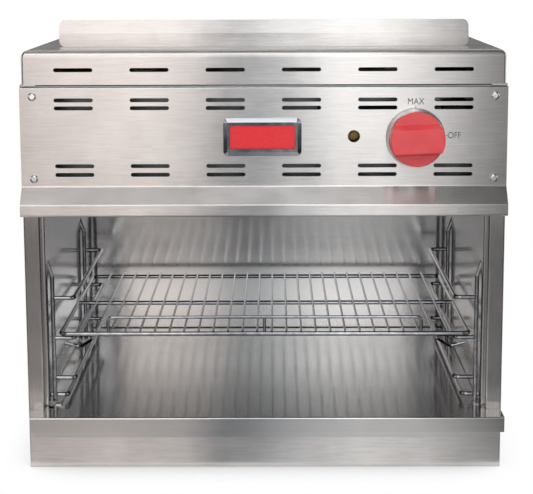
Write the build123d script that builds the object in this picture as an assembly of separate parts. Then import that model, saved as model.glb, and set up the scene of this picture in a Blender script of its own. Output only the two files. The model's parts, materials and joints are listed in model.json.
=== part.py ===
from build123d import *
import os

# Countertop cheese melter, millimetres. +Z up, the front faces -Y, +X is the
# operator's right. The origin is on the counter, under the centre of the body.

# ---- Body ----
body_width = 610.0  # over the side casings
body_depth = 460.0  # column faces to the outside of the back panel
body_height = 540.0  # counter to top cover
sheet = 1.2  # casing sheet thickness
bend = 1.6  # usual bend radius, at the middle of the sheet
running_gap = 0.3  # between pieces that slide past each other
weld_gap = 0.05  # between round rods that are welded where they cross
screw_radius = 2.4
screw_clearance = 0.2

# ---- Side casings, apron, pan and back ----
column_width = 20.5  # front face of each side casing
column_return = 20.0  # how far that face turns back into the body
back_flange = 20.0  # inward turned back of each side casing
foot_flange = 25.0  # inward turned bottom of each side casing
top_flange = 20.0  # inward turned top of each side casing, under the cover
apron_height = 75.5
apron_return = 25.0
apron_gap = 0.5  # apron's shelf to the liners' flanges
pan_rim = 15.0  # upturned front and back of the base pan
pan_corner_gap = 1.2  # each end of those rims, inside the casings
back_panel_inset = 1.0  # each side of the back panel, inside the casing's width
back_panel_rise = 6.0  # above the counter
back_slot_drops = (76.0, 86.0)  # below the control panel's top edge
back_screw_inset = 11.0
back_screw_low = 60.0
back_screw_drop = 37.0  # highest back screws, below the cover's seat
back_screw_head = (4.2, 2.2)  # radius and height
back_screw_edge = 1.2  # rounding of that head
back_screw_length = 8.0
leg_inset = 40.0  # leg holes, in from the body's sides, front and back
leg_bore = 4.2
leg_hole_clearance = 0.6
insert_radius = 9.0
insert_height = 11.0

# ---- Top cover and flue ----
cover_height = 43.0
cover_inset = 2.5  # each side of the cover, inside the casing's width
cover_front_radius = 9.0
cover_side_radius = 3.0
cover_slot_rise = 18.5  # vent slots above the cover's lower edge
flue_front = 102.0  # behind the cover's front
flue_depth = 56.0
flue_inset = 55.0  # each end of the flue, in from the body's side
grille_margin = 9.0
grille_slot = (44.0, 6.0)
grille_pitch = 14.0
deflector_back = 83.0  # foot behind the cover's front
deflector_inset = 39.5  # each end of the deflector, in from the body's side
deflector_height = 34.0
deflector_corner = 7.5
deflector_sheet = 1.5
crease_forward = 0.5  # deflector's crease, in front of its foot
deflector_lean = 4.0  # deflector's top edge, behind its foot
bracket_inset = 55.5  # outer brackets' middles, in from the deflector's ends
bracket_width = 20.0
bracket_sheet = 1.5
bracket_foot = 7.5
gusset_width = 2.0

# ---- Control panel. Each drop is measured down from the panel's top edge ----
panel_gap = 3.0  # panel's top edge below the cover's seat
panel_proud = 2.5  # flat face in front of the columns
face_height = 125.0
slope_height = 21.0
lip_height = 15.0
lip_proud = 20.5  # panel's bottom lip in front of the columns
lip_radius = 2.5
knee_radius = 3.0
panel_edge_radius = 1.6
slot_length = 49.0
slot_width = 5.0
slot_pitch = 95.0
slot_margin = 40.0  # least width kept free beside a row of slots, both sides together
panel_slot_drops = (16.0, 26.0, 99.0, 110.0)
panel_screw_inset = 16.0  # in from the body's side
panel_screw_drops = (11.5, 115.0)
panel_screw_head = (5.2, 3.0)  # radius and height
panel_screw_edge = 2.4  # rounding of that head
panel_screw_length = 10.5  # behind the panel's face
cross_recess = (2.6, 0.5, 1.4)  # half length, half width and depth
badge_x = -1.5
badge_drop = 62.5
badge_size = (98.0, 47.5, 5.0)
badge_corner = 6.0
badge_bevel = (5.0, 3.3)  # width over the face and depth
badge_floor = 1.5  # metal behind the blank plate
badge_inset = (82.0, 29.5)
badge_inset_corner = 2.0
badge_plate = 2.2
badge_fit = 0.1
badge_plate_edge = 0.4
sight_x = 113.0
sight_drop = 62.0
sight_radius = 7.7

# ---- Knob and stem ----
knob_x = 190.0
knob_drop = 64.0
knob_radius = 34.3
knob_projection = 35.0  # front of the grip in front of the panel
knob_gap = 3.6  # skirt to panel, which the push travel uses
knob_edge_radius = 1.2
knob_recess = (6.0, 3.0)  # hollow back: in from the rim, and its depth
skirt_overhang = (2.6, 0.4)  # collar outside the knob's rim, at its back and at its front
skirt_seat = 3.0  # how far the collar reaches in under the knob's rim
skirt_depth = 15.5
skirt_edge_radius = 0.8
grip_height = 14.0
grip_above = (13.0, 6.0)  # grip's upper front edge above the axis, and its root above that
grip_below = (16.5, 3.5)  # the same below the axis
grip_inset = 0.4  # ends of the grip, inside the knob's rim
grip_edge_radius = 1.5
grip_root_radius = 1.5
grip_tilt = 2.2  # degrees the grip sits off level when shut
stem_radius = 4.0
stem_clearance = 0.3
stem_hole_margin = 3.0  # panel's hole round the stem
push_travel = 3.0
socket_depth = 16.0  # stem socket in the back of the knob
socket_gap = 0.5  # at the bottom of that socket
washer_radius = 9.0
washer_thickness = 1.5
washer_gap = 1.0  # left in front of the bonnet when the knob is pushed in

# ---- Gas train ----
pipe_drop = 36.0
manifold_radius = 10.65
manifold_bore = 7.9
manifold_back = 44.0  # manifold's axis behind the column faces
manifold_start = 40.0  # capped end, left of the sight hole
manifold_end_wall = 8.0
cap_length = 4.0
cap_rim = 2.5
elbow_radius = 17.0
elbow_arm_radius = 16.0
elbow_side_reach = 20.0
elbow_back_reach = 22.0
elbow_bore_step = 1.0  # inlet pipe's bore wider than the elbow's
inlet_inset = 34.5  # inlet pipe's axis, in from the column's inner edge
inlet_radius = 13.35
inlet_bore = 10.4
inlet_projection = 34.0  # pipe end behind the back panel
inlet_chamfer = 1.0
pipe_clearance = 1.0  # round the pipe, where it passes through sheets
strap_width = 14.0
strap_thickness = 2.0
strap_tab = (16.0, 1.5)  # reach and thickness
strap_wall = 2.0
strap_start = 28.0  # first strap, left of the sight hole
strap_offset = 2.0  # second strap, left of midway between the valve and the inlet
valve_back = 26.0  # valve body's front, behind the column faces
valve_size = (24.0, 28.0, 28.0)
valve_chamfer = 2.0
bonnet_radius = 9.0
bonnet_length = 12.0
bore_margin = 1.0  # stem bore deeper than the push travel
boss_radius = 7.0
orifice_hex = (8.0, 6.0)  # corner radius and length
orifice_radius = 5.0
orifice_length = 17.0
orifice_bore = 1.0
mixer_radius = 16.0
mixer_wall = 1.5
mixer_gap = 6.0  # air gap between the orifice and the mixing tube
mixer_bend = 22.0
mixer_clearance = 2.0
pilot_valve_back = 14.0  # behind the column faces
pilot_valve_radius = 6.5
pilot_valve_tail = 8.0  # behind the manifold's axis
pilot_screw = (4.0, 7.0)  # radius and length
pilot_screw_slot = (0.6, 1.5)  # half width and depth
pilot_boss_radius = 4.5
pilot_tube_radius = 2.5
pilot_tube_bend = 14.0
pilot_tube_clearance = 1.5
pilot_offset = 12.0  # pilot's axis in front of the burner's flange
pilot_radius = 5.5
pilot_bore = 3.5
pilot_bore_depth = 12.0
pilot_rise = 16.0  # above the ceiling plate
pilot_drop = 10.0  # below the ceiling plate
pilot_plate = (13.0, 8.0, 1.5)  # half width, half depth and thickness
pilot_clearance = 0.5

# ---- Burner ----
tile_size = (132.0, 92.0, 13.0)
tile_gap = 0.6
tile_fit = 1.0  # round the row of tiles
tile_margin = 25.0  # least width kept free beside the tiles, both sides together
burner_height = 54.0
burner_sheet = 1.5
burner_corner = 4.0
burner_lip = 4.0  # rim under the edge of the tiles
burner_flange = 12.0
shield_back = 70.0  # heat shield behind the column faces
shield_sheet = 1.0
shield_foot = 12.0
rail_overlap = 6.0  # front rail behind the heat shield
rail_drop = 10.0
rail_end_gap = 1.0
screen_drop = 8.0  # burner guard under the ceiling
screen_sheet = 1.0
screen_overhang = 6.0
screen_rows = 4
screen_columns = 20
screen_end = 10.0  # plain metal at each end of the guard
screen_slot_share = 0.76  # of the pitch between slots
screen_slot_depth = 16.0

# ---- Cavity ----
liner_reveal = 4.5  # liner's face outside the column's inner edge
liner_sheet = 1.0
liner_bend = 1.2
liner_front = 11.5  # liner's front flange, behind the column faces
liner_foot = 14.0  # inward turned bottom of each liner, which carries the tray
liner_foot_start = 8.0  # behind the liner's front flange
back_space = 41.0  # back liner to the outside of the back panel
ceiling_rise = 12.0  # cavity ceiling above the panel's lip
ceiling_edge_gap = 0.5
beam_back = 6.0  # ceiling beam behind the column faces
beam_depth = 20.0
beam_end_gap = 0.5
insulation = 20.0
insulation_front = 30.0  # behind the column faces
insulation_back_gap = 10.0
insulation_rise = 3.0  # above the tray
rivet_drop = 113.0  # below the ceiling
rivet_inset = 50.0  # outer rivets, in from the side liners
rivet_head = (6.0, 0.8)  # radius and height
rivet_shank = 1.9
rivet_clearance = 0.1

# ---- Rack supports ----
support_radius = 2.75
support_offset = 4.3  # post's axis to liner face
post_front = 35.0  # behind the column faces
post_back = 67.0  # in front of the back liner
post_corner = 5.0
post_rise = 41.3  # above the top rail
post_lean = 13.0  # height over which the post leans to the wall
rail_first = 33.0  # lowest rack rail above the tray
rail_pitch = 53.35
rail_count = 3
rail_reach = 31.5  # wall to the middle of a rail's long run
rail_bend = 6.0
base_rail_rise = 8.5  # above the tray
base_rail_reach = 20.5

# ---- Rack ----
rack_level = 1  # which rail the rack sits on, counted from 0 at the bottom
rack_rod = 3.0
rack_side_gap = 14.0  # frame rod's axis to the liner
rack_front = 32.0
rack_back_gap = 40.0
rack_corner = 9.0
rack_wire = 1.5
rack_wire_pitch = 19.05
rack_wire_margin = 27.5  # least space between the frame rod and the outer wire
rack_wire_overhang = 3.0
guard_rod = 2.0
guard_outside = 2  # wires on each side that stand outside the guard
guard_height = 19.0
guard_corner = 6.0
hook_rod = 1.8
hook_inset = 24.0  # hook's leg, in from the rail's long run
hook_drop = 8.0
hook_reach = (20.0, 24.0)  # sideways and backwards
hook_under = 16.0  # below the rail
hook_tip_rise = 5.0
hook_corner = 4.0

# ---- Crumb tray ----
tray_top = 77.0
tray_projection = 34.0  # lip in front of the columns
tray_lip = 19.0
tray_lip_inset = 4.0  # each end of the lip, inside the casing's width
tray_return = 9.2  # slanted grip under the lip, as far back as it is deep
tray_return_notch = 5.0
tray_play = 4.0  # each side, between the tray's pan and the liners
tray_hem = 7.0
tray_back_gap = 6.0
tray_shift = 3.0  # the tray as it lies, towards the right

# ---- Derived places ----
front = -body_depth / 2
back = body_depth / 2
side = body_width / 2
inner_side = side - sheet
rear_inside = back - 2 * sheet  # in front of the casings' back flanges
pan_floor = 2 * sheet
column_inner = side - column_width
cover_seat = body_height - cover_height
panel_top = cover_seat - panel_gap
panel_face = front - panel_proud
slope_top = panel_top - face_height
slope_bottom = slope_top - slope_height
lip_bottom = slope_bottom - lip_height
lip_face = front - lip_proud
ceiling_height = lip_bottom + ceiling_rise
ceiling_top = ceiling_height + sheet
slot_columns = int((body_width - slot_margin) / slot_pitch)
pipe_height = panel_top - pipe_drop
manifold_y = front + manifold_back
inlet_x = column_inner - inlet_inset
knob_height = panel_top - knob_drop
knob_back = panel_face - knob_gap
sight_height = panel_top - sight_drop
valve_front = front + valve_back
flue_half = side - flue_inset
deflector_half = side - deflector_inset
liner_half = column_inner - liner_reveal
cavity_back = back - back_space
deck_under = tray_top - sheet
liner_low = deck_under - running_gap - sheet
tile_count = int((2 * liner_half - tile_margin) / (tile_size[0] + tile_gap))
burner_inside_x = tile_count * (tile_size[0] + tile_gap) / 2 + tile_fit
burner_inside_y = tile_size[1] / 2 + tile_fit
pilot_y = -(tile_size[1] / 2 + burner_lip + burner_flange + pilot_offset)
rail_heights = [tray_top + rail_first + level * rail_pitch for level in range(rail_count)]
rack_half = liner_half - rack_side_gap
rack_start = front + rack_front
rack_end = cavity_back - rack_back_gap
rack_height = rail_heights[rack_level] + support_radius + running_gap + rack_rod
rack_wire_pairs = int((rack_half - rack_wire_margin) / rack_wire_pitch + 0.5)


def save(shape, name):
    export_step(shape, "parts/" + name + ".step")


def block(x0, x1, y0, y1, z0, z1):
    return Pos((x0 + x1) / 2, (y0 + y1) / 2, (z0 + z1) / 2) * Box(x1 - x0, y1 - y0, z1 - z0)


def rod_x(x0, x1, y, z, radius):
    return Pos((x0 + x1) / 2, y, z) * Rot(0, 90, 0) * Cylinder(radius, x1 - x0)


def rod_y(x, y0, y1, z, radius):
    return Pos(x, (y0 + y1) / 2, z) * Rot(90, 0, 0) * Cylinder(radius, y1 - y0)


def rod_z(x, y, z0, z1, radius):
    return Pos(x, y, (z0 + z1) / 2) * Cylinder(radius, z1 - z0)


def wire(points, radius, corner):
    """A round rod bent along points, with the same radius at each corner."""
    path = FilletPolyline(*points, radius=corner)
    start = Plane(origin=path @ 0, z_dir=path % 0)
    return sweep(start * Circle(radius), path=path)


def folded_x(points, x0, x1):
    """A sheet folded along (y, z) points at mid thickness, as long as x0 to x1."""
    profile = Plane.YZ * trace(FilletPolyline(*points, radius=bend), sheet)
    return Pos(x0, 0, 0) * extrude(profile, x1 - x0)


def folded_z(points, z0, z1, thick=sheet, radius=bend):
    """A sheet folded along (x, y) points at mid thickness, from z0 to z1."""
    profile = trace(FilletPolyline(*points, radius=radius), thick)
    return Pos(0, 0, z0) * extrude(profile, z1 - z0)


def plate_x(points, x0, x1):
    """A solid with the closed (y, z) outline given, as long as x0 to x1."""
    outline = Plane.YZ * make_face(Polyline(*points, close=True))
    return Pos(x0, 0, 0) * extrude(outline, x1 - x0)


def mirrored(shape):
    return mirror(shape, about=Plane.YZ)


def slot_row(height, y0, y1):
    """The row of vent slots at one height, cut from y0 to y1."""
    row = []
    for index in range(slot_columns):
        x = (index - (slot_columns - 1) / 2) * slot_pitch
        outline = Plane.XZ * Pos(x, height) * SlotOverall(slot_length, slot_width)
        row.append(Pos(0, y1, 0) * extrude(outline, y1 - y0))
    return row


# ---- Casing pieces ----


def side_casing():
    """Right side casing: wall, column face, and its returns, foot and flanges."""
    mid = sheet / 2
    path = [
        (side - back_flange, rear_inside + mid),
        (side - mid, rear_inside + mid),
        (side - mid, front + mid),
        (column_inner + mid, front + mid),
        (column_inner + mid, front + column_return),
    ]
    shell = folded_z(path, 0, cover_seat)
    behind = front + apron_return
    shell -= block(0, side + 1, front - 1, behind, -1, apron_height)
    shell -= block(0, inner_side, front - 1, behind, panel_top, cover_seat + 1)
    shell += block(side - foot_flange, inner_side, behind, rear_inside, 0, sheet)
    low = cover_seat - sheet
    shell += block(side - top_flange, inner_side, front + sheet, rear_inside, low, cover_seat)
    hole = screw_radius + screw_clearance
    for drop in panel_screw_drops:
        shell -= rod_y(side - panel_screw_inset, front - 1, front + 5, panel_top - drop, hole)
    for height in back_screw_heights():
        shell -= rod_y(side - back_screw_inset, back - 5, back + 1, height, hole)
    return shell


def base_apron():
    """Low front of the body, wrapped a little round both sides, with a shelf."""
    mid = sheet / 2
    path = [
        (side - mid, front + apron_return),
        (side - mid, front + mid),
        (mid - side, front + mid),
        (mid - side, front + apron_return),
    ]
    shell = folded_z(path, 0, apron_height)
    reach = front + liner_front - apron_gap
    low = apron_height - sheet
    return shell + block(-inner_side, inner_side, front + sheet, reach, low, apron_height)


def back_screw_heights():
    high = cover_seat - back_screw_drop
    return back_screw_low, (back_screw_low + high) / 2, high


def back_panel():
    """Back sheet over the casings' back flanges, with a pipe hole and vent slots."""
    half = side - back_panel_inset
    panel = block(-half, half, back - sheet, back, back_panel_rise, cover_seat - running_gap)
    panel -= rod_y(inlet_x, back - 5, back + 5, pipe_height, inlet_radius + pipe_clearance)
    for drop in back_slot_drops:
        for cutter in slot_row(panel_top - drop, back - 5, back + 5):
            panel -= cutter
    for x in (back_screw_inset - side, side - back_screw_inset):
        for height in back_screw_heights():
            panel -= rod_y(x, back - 5, back + 5, height, screw_radius + screw_clearance)
    return panel


def back_screws():
    """Screws through the back panel and the casings' back flanges."""
    group = []
    radius, tall = back_screw_head
    for x in (back_screw_inset - side, side - back_screw_inset):
        for height in back_screw_heights():
            head = rod_y(x, back, back + tall, height, radius)
            head = fillet(head.edges().group_by(Axis.Y)[-1], back_screw_edge)
            group.append(head + rod_y(x, back - back_screw_length, back, height, screw_radius))
    return Compound(group)


def base_pan():
    """Floor of the body, on the casings' foot flanges, with a hole at each leg."""
    behind = front + apron_return
    half = inner_side - pan_corner_gap
    start = front + sheet
    pan = block(-inner_side, inner_side, behind, rear_inside, sheet, pan_floor)
    pan += block(-half, half, start, behind, sheet, pan_floor)
    pan += block(-half, half, start, start + sheet, pan_floor, pan_floor + pan_rim)
    pan += block(-half, half, rear_inside - sheet, rear_inside, pan_floor, pan_floor + pan_rim)
    for x, y in leg_places():
        pan -= rod_z(x, y, 0, pan_floor + 1, leg_bore + leg_hole_clearance)
    return pan


def leg_places():
    x = side - leg_inset
    y = back - leg_inset
    return [(-x, -y), (x, -y), (-x, y), (x, y)]


def leg_inserts():
    """Threaded inserts over the leg holes, as plain bores."""
    group = []
    top = pan_floor + insert_height
    for x, y in leg_places():
        insert = rod_z(x, y, pan_floor, top, insert_radius)
        group.append(insert - rod_z(x, y, 0, top + 1, leg_bore))
    return Compound(group)


def top_cover():
    """Lid with four skirts, a soft front bend, vent slots and the flue opening."""
    half = side - cover_inset
    lid = block(-half, half, front, back, cover_seat, body_height)
    uprights = lid.edges().filter_by(Axis.Z).group_by(Axis.Y)[0]
    lid = fillet(uprights, cover_side_radius)
    rim = lid.faces().sort_by(Axis.Z)[-1].edges()
    lid = fillet(rim.sort_by(Axis.Y)[0], cover_front_radius)
    lid = offset(lid, amount=-sheet, openings=[lid.faces().sort_by(Axis.Z)[0]])
    for cutter in slot_row(cover_seat + cover_slot_rise, front - 5, front + 5):
        lid -= cutter
    start = front + flue_front
    end = start + flue_depth
    return lid - block(-flue_half, flue_half, start, end, body_height - 5, body_height + 5)


def front_rail():
    """Angle across the front, under the cover, that joins the two casings."""
    high = cover_seat - sheet
    reach = front + shield_back + rail_overlap
    half = column_inner - rail_end_gap
    start = front + sheet
    rail = block(-inner_side, inner_side, start, reach, high - sheet, high)
    return rail + block(-half, half, start, start + sheet, high - rail_drop, high)


# ---- Flue pieces ----


def flue_grille():
    """Slotted plate over the flue opening."""
    half = flue_half + grille_margin
    y0 = front + flue_front - grille_margin
    y1 = front + flue_front + flue_depth + grille_margin
    plate = block(-half, half, y0, y1, body_height, body_height + sheet)
    length, width = grille_slot
    count = int((2 * flue_half - width) // grille_pitch)
    for index in range(count):
        x = (index - (count - 1) / 2) * grille_pitch
        slot = Pos(x, (y0 + y1) / 2) * SlotOverall(length, width, rotation=90)
        plate -= Pos(0, 0, body_height - 1) * extrude(slot, 5)
    return plate


def deflector_outline():
    """(y, z) of the deflector's foot, crease and top, at its front face."""
    foot = front + deflector_back
    crease = (foot - crease_forward, body_height + deflector_height / 2)
    top = (foot + deflector_lean, body_height + deflector_height)
    return (foot, body_height), crease, top


def flue_deflector():
    """Creased plate that stands across the top, with rounded corners."""
    face = deflector_outline()
    rear = [(y + deflector_sheet, z) for y, z in reversed(face)]
    plate = plate_x([*face, *rear], -deflector_half, deflector_half)
    middle = body_height + deflector_height / 2
    window = RectangleRounded(2 * deflector_half, deflector_height, deflector_corner)
    return plate & extrude(Plane.XZ * Pos(0, middle) * window, body_depth, both=True)


def deflector_brackets():
    """Three brackets behind the deflector, each with a foot and a gusset."""
    (foot, low), (crease, high), _ = deflector_outline()
    foot += deflector_sheet
    crease += deflector_sheet
    end = foot + bracket_foot
    strip = [(foot, low), (crease, high), (crease + bracket_sheet, high), (foot + bracket_sheet, low)]
    gusset = [(foot, low), (crease, high), (end, low)]
    spread = deflector_half - bracket_inset
    group = []
    for x in (-spread, 0, spread):
        half = bracket_width / 2
        piece = plate_x(strip, x - half, x + half)
        piece += block(x - half, x + half, foot, end, low, low + bracket_sheet)
        group.append(piece + plate_x(gusset, x - gusset_width / 2, x + gusset_width / 2))
    return Compound(group)


# ---- Control panel pieces ----


def panel_shell():
    """Bent front of the panel, open at its back, with no holes yet."""
    outline = [
        (front, panel_top),
        (panel_face, panel_top),
        (panel_face, slope_top),
        (lip_face, slope_bottom),
        (lip_face, lip_bottom),
        (front, lip_bottom),
    ]
    body = plate_x(outline, -side, side)
    lip = [e for e in body.edges().filter_by(Axis.X) if abs(e.center().Y - lip_face) < 0.1]
    body = fillet(lip, lip_radius)
    knee = [e for e in body.edges().filter_by(Axis.X) if abs(e.center().Z - slope_top) < 0.1]
    body = fillet(knee, knee_radius)
    high = body.edges().filter_by(Axis.X).group_by(Axis.Z)[-1]
    body = fillet(high.sort_by(Axis.Y)[0], panel_edge_radius)
    return offset(body, amount=-sheet, openings=[body.faces().sort_by(Axis.Y)[-1]])


def control_panel():
    """Front panel with its vent slots and the holes for stem, sight and screws."""
    body = panel_shell()
    near = panel_face - 2
    deep = panel_face + 5
    for drop in panel_slot_drops:
        for cutter in slot_row(panel_top - drop, near, deep):
            body -= cutter
    body -= rod_y(knob_x, near, deep, knob_height, stem_radius + stem_hole_margin)
    body -= rod_y(sight_x, near, deep, sight_height, sight_radius)
    for x in (panel_screw_inset - side, side - panel_screw_inset):
        for drop in panel_screw_drops:
            body -= rod_y(x, near, deep, panel_top - drop, screw_radius + screw_clearance)
    return body


def panel_screw(x, height):
    """One domed screw with a cross recess."""
    radius, tall = panel_screw_head
    long, narrow, depth = cross_recess
    tip = panel_face - tall
    head = rod_y(x, tip, panel_face, height, radius)
    head = fillet(head.edges().group_by(Axis.Y)[0], panel_screw_edge)
    head -= block(x - long, x + long, tip - 1, tip + depth, height - narrow, height + narrow)
    head -= block(x - narrow, x + narrow, tip - 1, tip + depth, height - long, height + long)
    return head + rod_y(x, panel_face, panel_face + panel_screw_length, height, screw_radius)


def panel_screws():
    """Screws at the panel's corners."""
    places = [(s * (side - panel_screw_inset), d) for s in (-1, 1) for d in panel_screw_drops]
    return Compound([panel_screw(x, panel_top - drop) for x, drop in places])


def badge_outline(size, corner):
    wide, tall = size
    return Plane.XZ * Pos(badge_x, panel_top - badge_drop) * RectangleRounded(wide, tall, corner)


def nameplate_bezel():
    """Bevelled metal frame that holds a blank plate."""
    wide, tall, deep = badge_size
    frame = Pos(0, panel_face, 0) * extrude(badge_outline((wide, tall), badge_corner), deep)
    face = frame.faces().sort_by(Axis.Y)[0]
    width, depth = badge_bevel
    frame = chamfer(face.edges(), width, depth, reference=face)
    pocket = extrude(badge_outline(badge_inset, badge_inset_corner), deep)
    return frame - Pos(0, panel_face - badge_floor, 0) * pocket


def nameplate_plate():
    """Blank coloured plate in the bezel."""
    size = [length - badge_fit for length in badge_inset]
    outline = badge_outline(size, badge_inset_corner - badge_fit)
    plate = Pos(0, panel_face - badge_floor, 0) * extrude(outline, badge_plate)
    return fillet(plate.faces().sort_by(Axis.Y)[0].edges(), badge_plate_edge)


def turned(shape):
    """Places a piece modelled with +Z towards the operator at the knob's axis."""
    tilted = Rot(0, 0, grip_tilt) * shape
    return Pos(knob_x, knob_back, knob_height) * Rot(90, 0, 0) * tilted


def grip_bar(root, total):
    """Full width drafted bar, from a little under its root to the knob's front."""
    high = grip_above[0]
    low = -grip_below[0]
    high_root = sum(grip_above)
    low_root = -sum(grip_below)
    outline = [(low_root, root - 1), (high_root, root - 1), (high, total), (low, total)]
    bar = plate_x(outline, -knob_radius, knob_radius)
    bar &= Pos(0, 0, total / 2) * Cylinder(knob_radius - grip_inset, total + 2)
    return fillet(bar.faces().sort_by(Axis.Z)[-1].edges(), grip_edge_radius)


def knob():
    """Moulded knob: a disc with a grip bar, a seat for the collar and a stem socket."""
    total = knob_projection - knob_gap
    root = total - grip_height
    disc = Pos(0, 0, root / 2) * Cylinder(knob_radius, root)
    disc = fillet(disc.edges().group_by(Axis.Z)[-1], knob_edge_radius)
    body = disc + grip_bar(root, total)
    flanks = body.edges().filter_by(Axis.X).filter_by_position(Axis.Z, root - 0.1, root + 0.1)
    body = fillet(flanks, grip_root_radius)
    seat = Cylinder(knob_radius + 1, skirt_depth) - Cylinder(knob_radius - skirt_seat, skirt_depth)
    body -= Pos(0, 0, skirt_depth / 2) * seat
    rim, depth = knob_recess
    body -= Pos(0, 0, depth / 2) * Cylinder(knob_radius - rim, depth)
    body -= Pos(0, 0, socket_depth / 2) * Cylinder(stem_radius, socket_depth)
    return turned(body)


def knob_skirt():
    """Bright metal collar round the knob's side, narrower towards its front."""
    wide, narrow = [knob_radius + overhang for overhang in skirt_overhang]
    ring = Pos(0, 0, skirt_depth / 2) * Cone(wide, narrow, skirt_depth)
    ring = fillet(ring.edges().group_by(Axis.Z)[-1], skirt_edge_radius)
    bore = Cylinder(knob_radius - skirt_seat, skirt_depth + 2)
    return turned(ring - Pos(0, 0, skirt_depth / 2) * bore)


def valve_stem():
    """Stem from the knob's socket into the valve's bonnet."""
    start = knob_back - socket_depth + socket_gap
    return rod_y(knob_x, start, valve_front - push_travel, knob_height, stem_radius)


def stem_washer():
    """Thrust washer that moves in and out with the stem."""
    y = valve_front - bonnet_length - push_travel - washer_gap
    ring = rod_y(knob_x, y - washer_thickness, y, knob_height, washer_radius)
    return ring - rod_y(knob_x, y - 5, y + 5, knob_height, stem_radius + stem_clearance)


# ---- Gas train ----


def gas_valve():
    """Brass valve: bonnet for the stem, body and an inlet boss to the manifold."""
    wide, deep, tall = valve_size
    x0 = knob_x - wide / 2
    z0 = knob_height - tall / 2
    body = block(x0, x0 + wide, valve_front, valve_front + deep, z0, z0 + tall)
    body = chamfer(body.edges().filter_by(Axis.Y), valve_chamfer)
    nose = valve_front - bonnet_length
    body += rod_y(knob_x, nose, valve_front, knob_height, bonnet_radius)
    end = valve_front + push_travel + bore_margin
    body -= rod_y(knob_x, nose - 1, end, knob_height, stem_radius + stem_clearance)
    body += rod_z(knob_x, manifold_y, z0 + tall, pipe_height, boss_radius)
    return body - rod_x(x0 - 5, x0 + wide + 5, manifold_y, pipe_height, manifold_radius)


def orifice_start():
    return valve_front + valve_size[1]


def burner_orifice():
    """Brass spud on the back of the valve, aimed into the mixing tube."""
    y0 = orifice_start()
    radius, length = orifice_hex
    seat = Plane(origin=(knob_x, y0, knob_height), z_dir=(0, 1, 0))
    spud = extrude(seat * RegularPolygon(radius, 6), length)
    end = y0 + orifice_length
    spud += rod_y(knob_x, y0 + length, end, knob_height, orifice_radius)
    return spud - rod_y(knob_x, y0 - 1, end + 1, knob_height, orifice_bore)


def manifold_pipe():
    """Cross pipe that feeds the valve and the pilot, capped at its left end."""
    left = sight_x - manifold_start
    right = inlet_x - elbow_side_reach
    pipe = rod_x(left, right, manifold_y, pipe_height, manifold_radius)
    pipe -= rod_x(left + manifold_end_wall, right + 1, manifold_y, pipe_height, manifold_bore)
    return pipe + rod_x(left - cap_length, left, manifold_y, pipe_height, manifold_radius + cap_rim)


def manifold_elbow():
    """Elbow between the cross pipe and the inlet pipe."""
    left = inlet_x - elbow_side_reach
    end = manifold_y + elbow_back_reach
    body = rod_x(left, inlet_x, manifold_y, pipe_height, elbow_arm_radius)
    body += rod_y(inlet_x, manifold_y, end, pipe_height, elbow_radius)
    body += Pos(inlet_x, manifold_y, pipe_height) * Sphere(elbow_radius)
    body -= rod_x(left - 1, inlet_x, manifold_y, pipe_height, manifold_bore)
    bore = inlet_bore - elbow_bore_step
    return body - rod_y(inlet_x, manifold_y - 1, end + 1, pipe_height, bore)


def inlet_pipe():
    """Gas inlet pipe from the elbow out through the back panel."""
    start = manifold_y + elbow_back_reach
    end = back + inlet_projection
    pipe = rod_y(inlet_x, start, end, pipe_height, inlet_radius)
    pipe = chamfer(pipe.edges().group_by(Axis.Y)[-1], inlet_chamfer)
    return pipe - rod_y(inlet_x, start - 1, end + 1, pipe_height, inlet_bore)


def pipe_strap(x):
    """Strap that hangs the cross pipe from the front rail."""
    top = cover_seat - 2 * sheet
    x0 = x - strap_width / 2
    x1 = x + strap_width / 2
    y0 = manifold_y - strap_thickness / 2
    reach, thick = strap_tab
    strap = block(x0, x1, y0, y0 + strap_thickness, pipe_height, top)
    strap += block(x0, x1, y0, manifold_y + reach, top - thick, top)
    strap += rod_x(x0, x1, manifold_y, pipe_height, manifold_radius + strap_wall)
    return strap - rod_x(x0 - 1, x1 + 1, manifold_y, pipe_height, manifold_radius)


def manifold_brackets():
    """The cross pipe's two straps."""
    second = (knob_x + inlet_x) / 2 - strap_offset
    return Compound([pipe_strap(sight_x - strap_start), pipe_strap(second)])


def pilot_valve():
    """Small valve behind the sight hole, with a slotted adjusting screw."""
    y0 = front + pilot_valve_back
    radius, length = pilot_screw
    narrow, depth = pilot_screw_slot
    tip = y0 - length
    body = rod_y(sight_x, y0, manifold_y + pilot_valve_tail, sight_height, pilot_valve_radius)
    screw = rod_y(sight_x, tip, y0, sight_height, radius)
    z0 = sight_height - radius
    z1 = sight_height + radius
    screw -= block(sight_x - narrow, sight_x + narrow, tip - 1, tip + depth, z0, z1)
    body += screw
    body += rod_z(sight_x, manifold_y, z1, pipe_height, pilot_boss_radius)
    reach = 2 * pilot_valve_radius
    return body - rod_x(sight_x - reach, sight_x + reach, manifold_y, pipe_height, manifold_radius)


def pilot_tube():
    """Thin tube from the pilot valve down to the pilot burner."""
    start = manifold_y + pilot_valve_tail
    points = [
        (sight_x, start, sight_height),
        (sight_x, pilot_y, sight_height),
        (sight_x, pilot_y, ceiling_top + pilot_rise),
    ]
    return wire(points, pilot_tube_radius, pilot_tube_bend)


def pilot_burner():
    """Pilot burner through the cavity ceiling, on its own plate."""
    half_x, half_y, thick = pilot_plate
    low = ceiling_height - pilot_drop
    body = rod_z(sight_x, pilot_y, low, ceiling_top + pilot_rise, pilot_radius)
    x0 = sight_x - half_x
    y0 = pilot_y - half_y
    body += block(x0, x0 + 2 * half_x, y0, y0 + 2 * half_y, ceiling_top, ceiling_top + thick)
    return body - rod_z(sight_x, pilot_y, low - 1, low + pilot_bore_depth, pilot_bore)


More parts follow.
